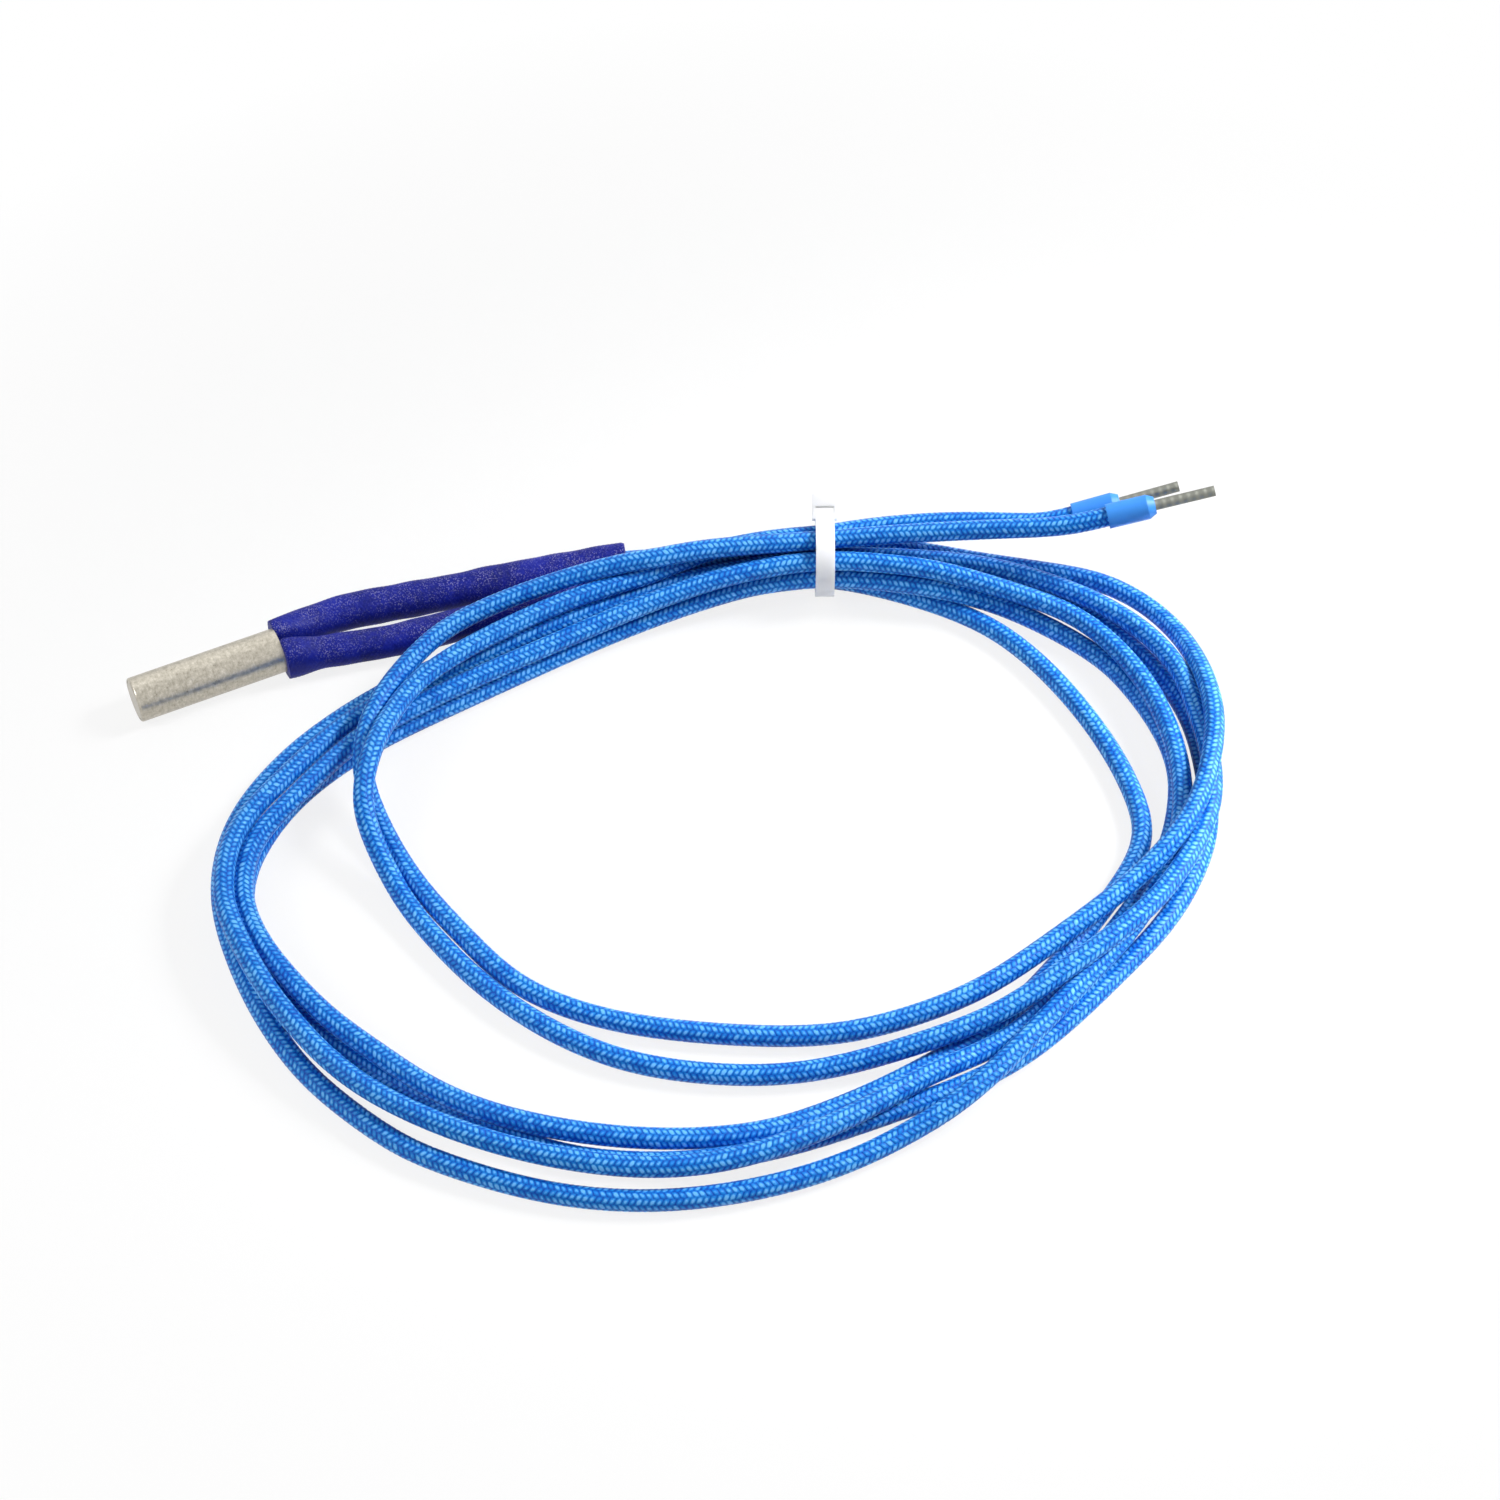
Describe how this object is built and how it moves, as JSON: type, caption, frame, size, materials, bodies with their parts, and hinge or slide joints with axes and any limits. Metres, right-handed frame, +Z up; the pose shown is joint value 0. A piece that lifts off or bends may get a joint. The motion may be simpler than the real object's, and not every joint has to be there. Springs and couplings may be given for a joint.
{
  "type": "cartridge heater",
  "caption": "Small cylindrical cartridge heater with a steel sheath, dark blue insulating sleeves and long braided blue leads wound in a tied loose coil, ending in bootlace ferrules.",
  "frame": {"origin": "on the table under the middle of the sheath", "axes": "+X along the sheath from its closed end to its leads, +Z up from the table, leads lying to -Y"},
  "size_m": [0.1414, 0.1087, 0.0173],
  "materials": {
    "sheath": "satin, finely ground",
    "ceramic": "matt",
    "wire": "drawn",
    "cement": "matt",
    "sleeve": "satin",
    "braid": "braided, satin",
    "collar": "semi-gloss",
    "tinned": "tinned",
    "copper": "stranded",
    "tie": "satin"
  },
  "bodies": {
    "root": {"sheath_tube": "sheath", "end_disc": "sheath", "base_pad": "ceramic", "ceramic_core": "ceramic", "heating_coil": "wire", "insulation_fill": "ceramic", "terminal_pin_a": "wire", "terminal_pin_b": "wire", "end_seal": "cement", "sleeve_a": "sleeve", "sleeve_b": "sleeve", "lead_a": "braid", "lead_b": "braid", "ferrule_collar_a": "collar", "ferrule_collar_b": "collar", "ferrule_pin_a": "tinned", "ferrule_pin_b": "tinned", "conductor_a": "copper", "conductor_b": "copper", "cable_tie": "tie"}
  },
  "joints": []
}
